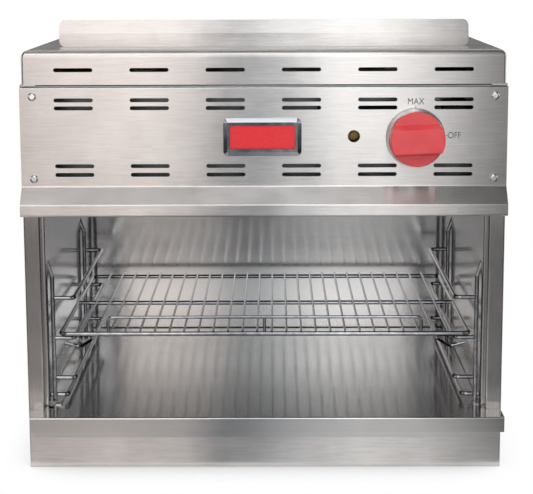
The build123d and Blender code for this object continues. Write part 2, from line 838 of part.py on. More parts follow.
def heat_shield():
    """Sheet between the burner space and the controls, on the cavity ceiling."""
    y = front + shield_back
    top = cover_seat - 2 * sheet
    high = ceiling_top + shield_sheet
    plate = block(-inner_side, inner_side, y, y + shield_sheet, ceiling_top, top)
    plate += block(-inner_side, inner_side, y, y + shield_foot, ceiling_top, high)
    holes = [
        (knob_x, knob_height, mixer_radius + mixer_clearance),
        (inlet_x, pipe_height, inlet_radius + pipe_clearance),
        (sight_x, sight_height, pilot_tube_radius + pilot_tube_clearance),
    ]
    for x, z, radius in holes:
        plate -= rod_y(x, y - 3, y + 3, z, radius)
    return plate


# ---- Burner ----


def around(half_x, half_y, z0, z1):
    """A block centred on the burner."""
    return block(-half_x, half_x, -half_y, half_y, z0, z1)


def burner_body():
    """Pressed plenum box over the tiles, with a rim and a mounting flange."""
    out_x = burner_inside_x + burner_sheet
    out_y = burner_inside_y + burner_sheet
    low = ceiling_top
    top = low + burner_height
    box = around(out_x, out_y, low, top)
    box = fillet(box.edges().filter_by(Axis.Z), burner_corner)
    box -= around(burner_inside_x, burner_inside_y, low - 1, top - burner_sheet)
    box += around(out_x + burner_flange, out_y + burner_flange, low, low + sheet)
    box -= around(burner_inside_x - burner_lip, burner_inside_y - burner_lip, low - 1, low + 3)
    return box - rod_z(knob_x, 0, top - 5, top + 5, mixer_radius - mixer_wall)


def burner_tiles():
    """Row of flat ceramic tiles on the burner's rim."""
    group = []
    long, wide, tall = tile_size
    low = ceiling_top + sheet
    for index in range(tile_count):
        x = (index - (tile_count - 1) / 2) * (long + tile_gap)
        group.append(block(x - long / 2, x + long / 2, -wide / 2, wide / 2, low, low + tall))
    return Compound(group)


def mixing_tube():
    """Bent tube that carries gas and air from the orifice into the plenum."""
    start = orifice_start() + orifice_length + mixer_gap
    points = [
        (knob_x, start, knob_height),
        (knob_x, 0, knob_height),
        (knob_x, 0, ceiling_top + burner_height),
    ]
    path = FilletPolyline(*points, radius=mixer_bend)
    ring = Circle(mixer_radius) - Circle(mixer_radius - mixer_wall)
    return sweep(Plane(origin=path @ 0, z_dir=path % 0) * ring, path=path)


def burner_guard():
    """Slotted guard under the burner, hung from the ceiling by its turned edges."""
    low = ceiling_height - screen_drop
    top = low + screen_sheet
    out_y = burner_inside_y + screen_overhang
    plate = around(burner_inside_x, out_y, low, top)
    plate += around(burner_inside_x, out_y, low, ceiling_height)
    plate -= around(burner_inside_x + 1, out_y - screen_sheet, top, ceiling_height + 1)
    pitch_x = 2 * (burner_inside_x - screen_end) / screen_columns
    pitch_y = 2 * burner_inside_y / screen_rows
    half_x = pitch_x * screen_slot_share / 2
    half_y = screen_slot_depth / 2
    for row in range(screen_rows):
        for index in range(screen_columns):
            x = (index - (screen_columns - 1) / 2) * pitch_x
            y = (row - (screen_rows - 1) / 2) * pitch_y
            plate -= block(x - half_x, x + half_x, y - half_y, y + half_y, low - 1, top + 1)
    return plate


# ---- Cavity pieces ----


def side_liner():
    """Right cavity liner: wall, front flange and the foot that carries the tray."""
    mid = liner_sheet / 2
    path = [
        (column_inner, front + liner_front + mid),
        (liner_half + mid, front + liner_front + mid),
        (liner_half + mid, cavity_back),
    ]
    liner = folded_z(path, liner_low, ceiling_height, liner_sheet, liner_bend)
    start = front + liner_front + liner_foot_start
    top = liner_low + sheet
    return liner + block(liner_half - liner_foot, liner_half, start, cavity_back, liner_low, top)


def back_liner():
    """Back wall of the cavity, with a foot under the tray."""
    wide = liner_half + liner_sheet
    wall = block(-wide, wide, cavity_back, cavity_back + liner_sheet, liner_low, ceiling_height)
    edge = liner_half - liner_foot
    start = cavity_back - liner_foot
    wall += block(-edge, edge, start, cavity_back, liner_low, liner_low + sheet)
    for x, z in rivet_places():
        wall -= rod_y(x, cavity_back - 1, cavity_back + 3, z, rivet_shank + rivet_clearance)
    return wall


def rivet_places():
    spread = liner_half - rivet_inset
    return [(x, ceiling_height - rivet_drop) for x in (-spread, 0, spread)]


def liner_rivets():
    """Flat rivets that show on the back wall."""
    group = []
    radius, tall = rivet_head
    for x, z in rivet_places():
        head = rod_y(x, cavity_back - tall, cavity_back, z, radius)
        group.append(head + rod_y(x, cavity_back, cavity_back + liner_sheet, z, rivet_shank))
    return Compound(group)


def cavity_ceiling():
    """Plate over the cavity that carries the burner."""
    low = ceiling_height
    start = front + column_return + ceiling_edge_gap
    narrow = column_inner - ceiling_edge_gap
    plate = block(-inner_side, inner_side, start, rear_inside, low, ceiling_top)
    plate += block(-narrow, narrow, front + beam_back, start, low, ceiling_top)
    hole_x = burner_inside_x - burner_lip
    hole_y = burner_inside_y - burner_lip
    plate -= around(hole_x, hole_y, low - 1, ceiling_top + 1)
    hole = pilot_radius + pilot_clearance
    return plate - rod_z(sight_x, pilot_y, low - 1, ceiling_top + 1, hole)


def ceiling_beam():
    """Folded beam across the front of the ceiling, behind the panel's lip."""
    y = front + beam_back
    mid = sheet / 2
    half = liner_half - beam_end_gap
    points = [
        (y + beam_depth, lip_bottom + mid),
        (y + mid, lip_bottom + mid),
        (y + mid, ceiling_height),
    ]
    return folded_x(points, -half, half)


def wall_insulation():
    """Fibre slabs behind the cavity's side and back liners."""
    low = tray_top + insulation_rise
    edge = liner_half + liner_sheet
    outer = edge + insulation
    start = front + insulation_front
    end = cavity_back - insulation_back_gap
    rear = cavity_back + liner_sheet
    slabs = [
        block(edge, outer, start, end, low, ceiling_height),
        block(-outer, -edge, start, end, low, ceiling_height),
        block(-edge, edge, rear, rear + insulation, low, ceiling_height),
    ]
    return Compound(slabs)


# ---- Rack supports ----


def post_places():
    return front + post_front, cavity_back - post_back


def support_posts():
    """Right hand posts, leaning to the wall at their tops, ground flush with it."""
    x = liner_half - support_offset
    bottom = tray_top + sheet + running_gap
    top = rail_heights[-1] + post_rise
    lean = top - post_lean
    slope = post_lean / support_offset
    over = support_offset + 4
    group = []
    for y in post_places():
        points = [(x, y, bottom), (x, y, lean), (x + over, y, lean + over * slope)]
        post = wire(points, support_radius, post_corner)
        group.append(post - block(liner_half, side, y - 20, y + 20, bottom, ceiling_height))
    return Compound(group)


def support_rail(outer, y0, y1, height, reach):
    """One rod: out from the wall, along the cavity and back to the wall."""
    x = liner_half - reach
    points = [(outer, y0, height), (x, y0, height), (x, y1, height), (outer, y1, height)]
    return wire(points, support_radius, rail_bend)


def support_rails():
    """Right hand rails: those for the rack, welded to the posts, and a base rail."""
    y0, y1 = post_places()
    post_face = liner_half - support_offset - support_radius - weld_gap
    group = [support_rail(post_face, y0, y1, height, rail_reach) for height in rail_heights]
    step = 2 * support_radius + weld_gap
    low = tray_top + base_rail_rise
    group.append(support_rail(liner_half, y0 + step, y1 - step, low, base_rail_reach))
    return Compound(group)


# ---- Rack ----


def rack_frame():
    """Rod frame with a middle cross rod."""
    middle = (rack_start + rack_end) / 2
    outline = RectangleRounded(2 * rack_half, rack_end - rack_start, rack_corner)
    path = (Pos(0, middle, rack_height) * outline).wire()
    start = Plane(origin=path @ 0, z_dir=path % 0)
    frame = sweep(start * Circle(rack_rod), path=path)
    return frame + rod_x(-rack_half, rack_half, middle, rack_height, rack_rod)


def rack_wires():
    """Wires from front to back over the frame, straight and evenly spaced."""
    z = rack_height + rack_rod + rack_wire + weld_gap
    y0 = rack_start - rack_wire_overhang
    y1 = rack_end + rack_wire_overhang
    places = [(pair + 0.5) * rack_wire_pitch for pair in range(rack_wire_pairs)]
    return Compound([rod_y(s * x, y0, y1, z, rack_wire) for x in places for s in (-1, 1)])


def rack_guard():
    """Raised wire along the rack's front, with bent ends and a middle post."""
    low = rack_height + rack_rod + weld_gap
    top = low + guard_height
    y = rack_start
    last_wire = (rack_wire_pairs - 0.5 - guard_outside) * rack_wire_pitch
    half = last_wire + rack_wire + guard_rod + running_gap
    points = [(-half, y, low), (-half, y, top), (half, y, top), (half, y, low)]
    return wire(points, guard_rod, guard_corner) + rod_z(0, y, low, top, guard_rod)


def rack_hooks():
    """Hooks under each side that hold the rack down on its rails."""
    y = rack_start + rack_rod + hook_rod + weld_gap
    inner = liner_half - rail_reach - hook_inset
    along, behind = hook_reach
    under = rail_heights[rack_level] - support_radius - hook_under
    points = [
        (inner, y, rack_height + rack_rod),
        (inner, y, rack_height - hook_drop),
        (inner + along, y + behind, under),
        (inner + 2 * along, y + behind, under + hook_tip_rise),
    ]
    hook = wire(points, hook_rod, hook_corner)
    return Compound([hook, mirrored(hook)])


# ---- Crumb tray ----


def tray_front():
    """The tray's lip: out, down and slanting back, across the whole front."""
    mid = sheet / 2
    deck = tray_top - mid
    lip = front - tray_projection
    low = tray_top - tray_lip
    points = [
        (front - running_gap, deck),
        (lip + mid, deck),
        (lip + mid, low),
        (lip + mid + tray_return, low - tray_return),
    ]
    half = side - tray_lip_inset
    notch = half - tray_return_notch
    piece = folded_x(points, -half, half)
    piece -= block(notch, half + 1, lip - 1, front, 0, low - mid)
    return piece - block(-half - 1, -notch, lip - 1, front, 0, low - mid)


def crumb_tray():
    """Flat removable tray with a folded front lip and low hems."""
    wide = liner_half - tray_play
    end = cavity_back - tray_back_gap
    start = front + column_return
    hem = tray_top + sheet
    tray = tray_front()
    tray += block(-wide, wide, front - 2, end, deck_under, tray_top)
    tray += block(wide - tray_hem, wide, start, end, tray_top, hem)
    tray += block(-wide, tray_hem - wide, start, end, tray_top, hem)
    tray += block(-wide, wide, end - tray_hem, end, tray_top, hem)
    return Pos(tray_shift, 0, 0) * tray


def main():
    os.makedirs("parts", exist_ok=True)
    casing = side_casing()
    liner = side_liner()
    posts = support_posts()
    rails = support_rails()
    pieces = {
        "right_side_casing": casing,
        "left_side_casing": mirrored(casing),
        "base_apron": base_apron(),
        "back_panel": back_panel(),
        "back_panel_screws": back_screws(),
        "base_pan": base_pan(),
        "leg_inserts": leg_inserts(),
        "top_cover": top_cover(),
        "front_rail": front_rail(),
        "flue_grille": flue_grille(),
        "flue_deflector": flue_deflector(),
        "deflector_brackets": deflector_brackets(),
        "control_panel": control_panel(),
        "panel_screws": panel_screws(),
        "nameplate_bezel": nameplate_bezel(),
        "nameplate_plate": nameplate_plate(),
        "knob": knob(),
        "knob_skirt": knob_skirt(),
        "valve_stem": valve_stem(),
        "stem_washer": stem_washer(),
        "gas_valve": gas_valve(),
        "burner_orifice": burner_orifice(),
        "manifold_pipe": manifold_pipe(),
        "manifold_elbow": manifold_elbow(),
        "manifold_brackets": manifold_brackets(),
        "inlet_pipe": inlet_pipe(),
        "pilot_valve": pilot_valve(),
        "pilot_tube": pilot_tube(),
        "pilot_burner": pilot_burner(),
        "heat_shield": heat_shield(),
        "burner_body": burner_body(),
        "burner_tiles": burner_tiles(),
        "mixing_tube": mixing_tube(),
        "burner_guard": burner_guard(),
        "right_liner": liner,
        "left_liner": mirrored(liner),
        "back_liner": back_liner(),
        "liner_rivets": liner_rivets(),
        "cavity_ceiling": cavity_ceiling(),
        "ceiling_beam": ceiling_beam(),
        "wall_insulation": wall_insulation(),
        "right_rack_posts": posts,
        "left_rack_posts": mirrored(posts),
        "right_rack_rails": rails,
        "left_rack_rails": mirrored(rails),
        "rack_frame": rack_frame(),
        "rack_wires": rack_wires(),
        "rack_guard": rack_guard(),
        "rack_hooks": rack_hooks(),
        "crumb_tray": crumb_tray(),
    }
    for name, shape in pieces.items():
        save(shape, name)


main()
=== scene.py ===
import json
import math

import bmesh
import bpy
from mathutils import Matrix, Vector


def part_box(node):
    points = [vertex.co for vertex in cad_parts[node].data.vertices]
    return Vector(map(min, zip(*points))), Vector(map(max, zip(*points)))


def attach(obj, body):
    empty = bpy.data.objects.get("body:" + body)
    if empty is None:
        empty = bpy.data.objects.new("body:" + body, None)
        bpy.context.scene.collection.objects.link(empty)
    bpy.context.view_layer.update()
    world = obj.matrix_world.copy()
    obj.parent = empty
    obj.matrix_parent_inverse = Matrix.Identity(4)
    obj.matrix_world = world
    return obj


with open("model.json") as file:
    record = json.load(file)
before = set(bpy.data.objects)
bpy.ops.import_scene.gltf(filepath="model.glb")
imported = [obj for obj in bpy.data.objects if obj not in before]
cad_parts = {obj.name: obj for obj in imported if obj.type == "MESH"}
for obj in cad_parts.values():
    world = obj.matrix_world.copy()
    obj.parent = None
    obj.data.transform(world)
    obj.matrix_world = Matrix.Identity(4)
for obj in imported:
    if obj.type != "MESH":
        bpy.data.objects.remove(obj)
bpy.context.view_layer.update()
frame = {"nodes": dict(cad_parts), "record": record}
nodes = frame["nodes"]
millimetre = 0.001
print("frame loaded:", len(nodes), "nodes")


def colour(code):
    # sRGB hex to the linear values that the shaders work in
    channels = [int(code[i:i + 2], 16) / 255 for i in (1, 3, 5)]
    linear = [c / 12.92 if c <= 0.04045 else ((c + 0.055) / 1.055) ** 2.4 for c in channels]
    return (*linear, 1.0)


def addNode(tree, kind, values=None, links=None, **settings):
    node = tree.nodes.new("ShaderNode" + kind)
    for name, value in settings.items():
        setattr(node, name, value)
    for name, value in (values or {}).items():
        node.inputs[name].default_value = value
    for name, source in (links or {}).items():
        tree.links.new(source, node.inputs[name])
    return node


def startMaterial(name, values):
    # a material with its Principled shader, and Object coordinates turned to millimetres
    made = bpy.data.materials.new(name)
    made.use_nodes = True
    tree = made.node_tree
    shader = tree.nodes["Principled BSDF"]
    for socket, value in values.items():
        shader.inputs[socket].default_value = value
    place = addNode(tree, "TexCoord").outputs["Object"]
    scaled = addNode(tree, "VectorMath", {1: [1 / millimetre] * 3}, {0: place}, operation="MULTIPLY")
    return made, tree, shader, scaled.outputs[0]


def unevenMarks(tree, place, spacing, detail=3.0, fineShare=0.55):
    # marks with the given sizes in millimetres along x, y and z, as values from 0 to 1
    fitted = addNode(tree, "Mapping", {"Scale": [1 / s for s in spacing]}, {"Vector": place}).outputs[0]
    amounts = {"Scale": 1.0, "Detail": detail, "Roughness": fineShare}
    return addNode(tree, "TexNoise", amounts, {"Vector": fitted}).outputs[0]


markRange = {"From Min": 0.3, "From Max": 0.7}  # most of the marks' values lie between these


def finishSurface(tree, shader, finish, marks, relief):
    # the marks carry the colour from dark to light and the gloss through its range, and the relief
    # stands up from the surface by the height that the finish gives in millimetres
    share = addNode(tree, "MapRange", markRange, {"Value": marks}).outputs[0]
    tones = {6: colour(finish["dark"]), 7: colour(finish["light"])}
    tone = addNode(tree, "Mix", tones, {0: share}, data_type="RGBA").outputs[2]
    low, high = finish["rough"]
    glossRange = {**markRange, "To Min": low, "To Max": high}
    gloss = addNode(tree, "MapRange", glossRange, {"Value": marks}).outputs[0]
    bump = addNode(tree, "Bump", {"Distance": finish["relief"] * millimetre}, {"Height": relief}).outputs[0]
    for socket, source in {"Base Color": tone, "Roughness": gloss, "Normal": bump}.items():
        tree.links.new(source, shader.inputs[socket])


# Brushed stainless steel sheet: rolled, then ground with a belt, so fine scratches run one way and
# spread each reflection across them. Real scratches are 0.05 mm apart, too fine to show, so these
# are drawn 0.9 mm apart.
brushedSheet = {
    "dark": "#C0BDBB", "light": "#DAD7D5", "rough": (0.2, 0.25), "relief": 0.002,
    "scratchLength": 32.0, "scratchPitch": 0.9, "cloudSize": 55.0, "cloudShare": 0.5, "anisotropy": 1.0,
}
# Cold rolled stainless with a bright finish, for the cavity: smoother, so a reflection stays sharp
# along the rolling lines and is drawn out across them, under wiping marks and heat haze.
rolledSheet = {
    "dark": "#BEBDBC", "light": "#C9C8C7", "rough": (0.12, 0.15), "relief": 0.0005,
    "scratchLength": 160.0, "scratchPitch": 0.9, "cloudSize": 60.0, "cloudShare": 0.5, "anisotropy": 0.85,
}
quarterTurn = 0.25  # turns the spread of a reflection from along the tangent to across it


def steelSheet(name, sheet, grain):
    # grain is the axis that the scratches or rolling lines run along
    values = {"Metallic": 1.0, "Anisotropic": sheet["anisotropy"], "Anisotropic Rotation": quarterTurn}
    made, tree, shader, place = startMaterial(name, values)
    spacing = [sheet["scratchLength"] if axis == grain else sheet["scratchPitch"] for axis in "XYZ"]
    scratches = unevenMarks(tree, place, spacing, detail=4.0, fineShare=0.65)
    clouds = unevenMarks(tree, place, [sheet["cloudSize"]] * 3)
    both = addNode(tree, "Mix", {0: sheet["cloudShare"]}, {2: scratches, 3: clouds}).outputs[0]
    finishSurface(tree, shader, sheet, both, scratches)
    alongGrain = addNode(tree, "CombineXYZ", {grain: 1.0})
    tree.links.new(alongGrain.outputs[0], shader.inputs["Tangent"])
    return made


# Bright chromium on drawn steel wire, mirror smooth, with a very slight ripple from the drawing. Its tone
# is darker than bare chrome, partly painted shade for the dim cavity that it mirrors.
chromeWire = {"dark": "#989A9F", "light": "#B2B4B8", "rough": (0.04, 0.09), "relief": 0.012,
              "rippleSize": 7.0}


def chromedWire():
    made, tree, shader, place = startMaterial("chromed steel wire", {"Metallic": 1.0})
    ripple = unevenMarks(tree, place, [chromeWire["rippleSize"]] * 3, detail=2.0)
    finishSurface(tree, shader, chromeWire, ripple, ripple)
    return made


# Metals, lacquer and fibre that differ only in their colours, gloss and mottling. Spacing is the
# size of the mottling in millimetres along x, y and z.
plainFinishes = {
    "galvanised_sheet": {"name": "galvanised steel", "metal": 1.0, "dark": "#8F9497", "light": "#B4B9BB",
                         "rough": (0.32, 0.5), "spacing": (9, 9, 9), "relief": 0.01},
    # the trim is darker than bare chrome, partly painted shade for the dark surroundings it mirrors
    "bright_trim": {"name": "polished chromed trim", "metal": 1.0, "dark": "#A9ABAF", "light": "#B6B8BC",
                    "rough": (0.07, 0.12), "spacing": (12, 12, 12), "relief": 0.001},
    "brass_fitting": {"name": "turned brass, dulled", "metal": 1.0, "dark": "#6E5A34", "light": "#947B48",
                      "rough": (0.3, 0.45), "spacing": (40, 0.8, 40), "relief": 0.01},
    # a paler copy of the plated trim: painted highlight on the screws and the knob's collar
    "trim_painted_highlight": {"name": "plated steel, paled for painted highlight", "metal": 1.0, "dark": "#D4D5D7", "light": "#E6E7E8",
                     "rough": (0.14, 0.24), "spacing": (4, 4, 4), "relief": 0.002},
    "zinc_steel": {"name": "zinc plated steel", "metal": 1.0, "dark": "#A7A9A6", "light": "#C9CBC6",
                   "rough": (0.25, 0.4), "spacing": (6, 6, 6), "relief": 0.005},
    "steel_pipe": {"name": "black lacquered steel pipe", "metal": 0.0, "dark": "#1B1B1C", "light": "#2E2D2D",
                   "rough": (0.35, 0.6), "spacing": (5, 30, 5), "relief": 0.05},
    "aluminium_tube": {"name": "drawn aluminium tube", "metal": 1.0, "dark": "#BFC1C3", "light": "#D9DADB",
                       "rough": (0.25, 0.4), "spacing": (3, 60, 3), "relief": 0.004},
    "aluminised_steel": {"name": "aluminised steel", "metal": 1.0, "dark": "#8E8C89", "light": "#B1AFAB",
                         "rough": (0.38, 0.55), "spacing": (14, 14, 14), "relief": 0.01},
    "fibre_blanket": {"name": "ceramic fibre blanket", "metal": 0.0, "dark": "#D9D5CB", "light": "#F1EFE8",
                      "rough": (0.9, 1.0), "spacing": (2.5, 9, 2.5), "relief": 0.4},
}


def plainFinish(finish):
    made, tree, shader, place = startMaterial(finish["name"], {"Metallic": finish["metal"]})
    mottle = unevenMarks(tree, place, finish["spacing"], detail=4.0, fineShare=0.6)
    finishSurface(tree, shader, finish, mottle, mottle)
    return made


# Moulded ABS: a satin skin with fine pebbling, a little paler where hands have rubbed it.
knobPlastic = {"dark": "#C1343A", "light": "#C93F42", "rough": (0.2, 0.26), "relief": 0.003, "ior": 1.54,
               "pebble": 0.9, "rubSize": 22.0}


def mouldedPlastic():
    made, tree, shader, place = startMaterial("moulded ABS, satin red", {"IOR": knobPlastic["ior"]})
    pebbles = unevenMarks(tree, place, [knobPlastic["pebble"]] * 3, detail=2.0)
    rub = unevenMarks(tree, place, [knobPlastic["rubSize"]] * 3, detail=2.0)
    finishSurface(tree, shader, knobPlastic, rub, pebbles)
    return made


# Stove enamel on pressed metal: smooth and glossy, with the faint orange peel of sprayed enamel.
plateEnamel = {"dark": "#C91C25", "light": "#D5232B", "rough": (0.18, 0.26), "relief": 0.01, "ior": 1.5,
               "coat": 0.4, "coatRough": 0.08, "peel": 1.6}


def stovedEnamel():
    enamel = plateEnamel
    values = {"IOR": enamel["ior"], "Coat Weight": enamel["coat"], "Coat Roughness": enamel["coatRough"]}
    made, tree, shader, place = startMaterial("stoved red enamel", values)
    peel = unevenMarks(tree, place, [enamel["peel"]] * 3, detail=1.0)
    finishSurface(tree, shader, enamel, peel, peel)
    return made


# Fired ceramic tile: chalky cream with rows of flame holes. Real holes are 1.2 mm wide and 2 mm
# apart. These are drawn 1.6 mm wide and 2.6 mm apart, to show, and hardly change upwards, because
# they run right through. Their dark tone is painted shade, for the shadow inside each hole.
burnerTile = {"cream": "#E2D8C2", "hole": "#5A5148", "rough": 0.85, "ior": 1.55, "pitch": 2.6,
              "through": 1000.0, "holeShare": 0.3, "holeEdge": 0.05, "holeDepth": 0.3}


def firedCeramic():
    tile = burnerTile
    values = {"Roughness": tile["rough"], "IOR": tile["ior"]}
    made, tree, shader, place = startMaterial("fired ceramic with flame holes", values)
    spacing = (tile["pitch"], tile["pitch"], tile["through"])
    grid = addNode(tree, "Mapping", {"Scale": [1 / s for s in spacing]}, {"Vector": place}).outputs[0]
    cells = addNode(tree, "TexVoronoi", {"Scale": 1.0, "Randomness": 0.0}, {"Vector": grid})
    rim = {"From Min": tile["holeShare"] - tile["holeEdge"], "From Max": tile["holeShare"] + tile["holeEdge"]}
    solid = addNode(tree, "MapRange", rim, {"Value": cells.outputs["Distance"]}).outputs[0]
    # the holes' dark tone is painted shade on the cream, the shadow inside each hole
    tones = {6: colour(tile["hole"]), 7: colour(tile["cream"])}
    tone = addNode(tree, "Mix", tones, {0: solid}, data_type="RGBA").outputs[2]
    bump = addNode(tree, "Bump", {"Distance": tile["holeDepth"] * millimetre}, {"Height": solid}).outputs[0]
    tree.links.new(tone, shader.inputs["Base Color"])
    tree.links.new(bump, shader.inputs["Normal"])
    return made


materials = {
    "brushed_stainless": steelSheet("brushed stainless, grain level", brushedSheet, "X"),
    "polished_stainless": steelSheet("bright rolled stainless", rolledSheet, "X"),
    "chromed_wire": chromedWire(),
    "red_plastic": mouldedPlastic(),
    "red_enamel": stovedEnamel(),
    "burner_ceramic": firedCeramic(),
}
for slotName, finish in plainFinishes.items():
    materials[slotName] = plainFinish(finish)
# The casings and the side liners are cut from the same sheets with their grain another way. The
# screws and the knob's collar get a paler copy of the plated trim, a painted highlight for their
# bright domes, where the rest of the trim keeps the darker copy.
grainUpright = steelSheet("brushed stainless, grain upright", brushedSheet, "Z")
grainInward = steelSheet("bright rolled stainless, grain inward", rolledSheet, "Y")
ownFinish = {
    "left_side_casing": grainUpright, "right_side_casing": grainUpright,
    "left_liner": grainInward, "right_liner": grainInward,
    "panel_screws": materials["trim_painted_highlight"], "back_panel_screws": materials["trim_painted_highlight"],
    "knob_skirt": materials["trim_painted_highlight"],
}

for part in frame["record"]["subparts"]:
    data = nodes[part["node"]].data
    data.materials.clear()
    data.materials.append(ownFinish.get(part["node"], materials[part["material_slot"]]))


# Dial legends printed on the panel beside the knob. Sizes are in millimetres, and so are places, to
# the right of the knob's centre and above it. Narrow is the letters' width as a share of the font's.
dial = {
    "ink": "#45464A", "inkPale": "#66676B", "inkRough": 0.6, "inkIor": 1.5, "inkGrit": 0.6,
    "printThickness": 0.06, "narrow": 0.86,
    "words": {"MAX": {"at": (0.0, 45.2), "tall": 8.2}, "OFF": {"at": (48.6, 2.6), "tall": 8.2}},
    "ticks": {"MAX": ((0.0, 38.0), (0.0, 39.6)), "OFF": ((37.9, 2.6), (39.6, 2.6))},
    "tickWidth": 0.9, "tickCorner": 0.405,
}
capitalShare = 0.72  # height of a capital as a share of the font's size


# Screen printed ink: matt and thin, a little uneven where the steel's scratches take it up.
def printedInk():
    values = {"Roughness": dial["inkRough"], "IOR": dial["inkIor"]}
    made, tree, shader, place = startMaterial("screen printed ink", values)
    grit = unevenMarks(tree, place, [dial["inkGrit"]] * 3, detail=2.0)
    tones = {6: colour(dial["ink"]), 7: colour(dial["inkPale"])}
    tone = addNode(tree, "Mix", tones, {0: grit}, data_type="RGBA").outputs[2]
    tree.links.new(tone, shader.inputs["Base Color"])
    return made


def besideKnob(across, up):
    # the place of a print on the panel, in the middle of the ink's thickness
    low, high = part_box("knob")
    centre = (low + high) / 2
    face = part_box("nameplate_bezel")[1].y  # the bezel lies against the panel's flat front
    return Vector((centre.x + across * millimetre, face - dial["printThickness"] / 2 * millimetre,
                   centre.z + up * millimetre))


def addObject(name, data):
    added = bpy.data.objects.new(name, data)
    bpy.context.scene.collection.objects.link(added)
    return added


def meshFrom(name, shape):
    mesh = bpy.data.meshes.new(name)
    shape.to_mesh(mesh)
    shape.free()
    return mesh


def settle(piece, shown, body, turn, place):
    # gives a finished piece its material and puts its place into its mesh
    piece.data.transform(Matrix.Translation(place) @ turn)
    piece.data.materials.clear()
    piece.data.materials.append(shown)
    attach(piece, body)


def printWord(word, spec, ink):
    curve = bpy.data.curves.new("legend curve", "FONT")
    curve.body = word
    curve.size = spec["tall"] / capitalShare * millimetre
    curve.align_x, curve.align_y = "CENTER", "CENTER"
    curve.extrude = dial["printThickness"] / 2 * millimetre
    holder = addObject("legend holder", curve)
    bpy.context.view_layer.update()
    mesh = bpy.data.meshes.new_from_object(holder.evaluated_get(bpy.context.evaluated_depsgraph_get()))
    bpy.data.objects.remove(holder)
    piece = addObject("legend_" + word.lower(), mesh)
    upright = Matrix.Rotation(math.pi / 2, 4, "X") @ Matrix.Scale(dial["narrow"], 4, (1, 0, 0))
    settle(piece, ink, "housing", upright, besideKnob(*spec["at"]))


def printTick(word, ends, ink):
    (x0, z0), (x1, z1) = ends
    width = dial["tickWidth"]
    size = (abs(x1 - x0) + width, dial["printThickness"], abs(z1 - z0) + width)
    shape = bmesh.new()
    bmesh.ops.create_cube(shape, size=1.0)
    bmesh.ops.scale(shape, vec=[s * millimetre for s in size], verts=shape.verts)
    through = [e for e in shape.edges if abs(e.verts[0].co.y - e.verts[1].co.y) > size[1] * millimetre / 2]
    bmesh.ops.bevel(shape, geom=through, offset=dial["tickCorner"] * millimetre, offset_type="OFFSET",
                    affect="EDGES", segments=3, profile=0.5, material=-1)
    name = "tick_" + word.lower()
    piece = addObject(name, meshFrom(name, shape))
    settle(piece, ink, "housing", Matrix.Identity(4), besideKnob((x0 + x1) / 2, (z0 + z1) / 2))


ink = printedInk()
for word, spec in dial["words"].items():
    printWord(word, spec, ink)
    printTick(word, dial["ticks"][word], ink)
print("dial legends printed")


# The studio: a pale floor, a white surround, soft lamps, and cards that only the metal mirrors.
# The cards are a light tent seen in the steel, brightest a little to the right of the lens.
studio = {
    "floorSize": 14.0, "floor": "#F4F4F4", "floorRough": 0.9, "worldLight": 0.75,
    # how far from the object the floor is shaded, in metres, and the openness at which it is white
    "shadeReach": 0.1, "shadeSamples": 8, "shadeEnd": 0.75,
    "lamps": {
        "key": {"at": (0.9, -1.6, 2.1), "aim": (0.0, 0.0, 0.35), "size": 1.6, "watts": 26.0},
        "fill": {"at": (-1.8, -1.8, 1.3), "aim": (0.0, 0.0, 0.3), "size": 1.8, "watts": 12.0},
    },
    # middle in metres, width and depth, tilt from level in degrees, and how bright the card is
    "cards": {
        "floorNear": {"at": (0.0, -0.3925, 0.004), "size": (8.0, 0.315), "tilt": 0, "glow": 0.8},
        "floorMiddle": {"at": (0.0, -1.325, 0.004), "size": (8.0, 1.55), "tilt": 0, "glow": 0.5},
        "floorFar": {"at": (0.0, -2.7, 0.004), "size": (8.0, 1.2), "tilt": 0, "glow": 0.8},
        "frontLow": {"at": (0.0, -3.3, 0.6), "size": (8.0, 1.2), "tilt": 90, "glow": 2.35},
        "frontHigh": {"at": (0.0, -3.3, 1.8), "size": (8.0, 1.2), "tilt": 90, "glow": 2.1},
        "frontTop": {"at": (0.0, -2.8, 2.75), "size": (8.0, 1.25), "tilt": 35, "glow": 1.0},
        "overhead": {"at": (0.0, -0.5, 3.05), "size": (8.0, 2.8), "tilt": 0, "glow": 0.25},
    },
    "plainCards": {
        "softbox": {"at": (-0.44, -1.98, 2.64), "size": (1.72, 0.94), "tilt": 38, "glow": 2.7},
        "behind": {"at": (0.0, 2.6, 1.55), "size": (8.0, 2.3), "tilt": 90, "glow": 0.06},
        "lens": {"at": (-0.04, -3.28, 0.16), "size": (0.4, 0.32), "tilt": 90, "glow": 0.1},
    },
    # the tent's tones from left to right, by the place on the panel that mirrors them, in metres
    "tones": [
        (-0.75, "#3F3F41"), (-0.40, "#A09A98"), (-0.31, "#D8D0CD"), (-0.17, "#EFE8E5"), (-0.10, "#DEDAD8"),
        (-0.055, "#A0A3A6"), (-0.03, "#ADB1B5"), (0.03, "#E6E8EA"), (0.09, "#FFFFFF"), (0.16, "#F4F4F4"),
        (0.22, "#BDBDBD"), (0.27, "#7E7E7E"), (0.40, "#6E6E70"), (0.75, "#3A3A3C"),
    ],
    "toneEnd": 0.8,  # how far the tones reach to either side
    # where the tones fan out from: the panel under the lens, and its distance from the lens
    "mirroredAt": (0.0144, -0.2325, 0.43), "lensDistance": 1.8,
}
white = (1, 1, 1, 1)


def seenDirectly(tree):
    # 1 for camera, glossy and transmission rays, so that the metal shows the white surround too
    path = addNode(tree, "LightPath").outputs
    links = {0: path["Is Camera Ray"], 1: path["Is Glossy Ray"]}
    both = addNode(tree, "Math", links=links, operation="MAXIMUM").outputs[0]
    links = {0: both, 1: path["Is Transmission Ray"]}
    return addNode(tree, "Math", links=links, operation="MAXIMUM").outputs[0]


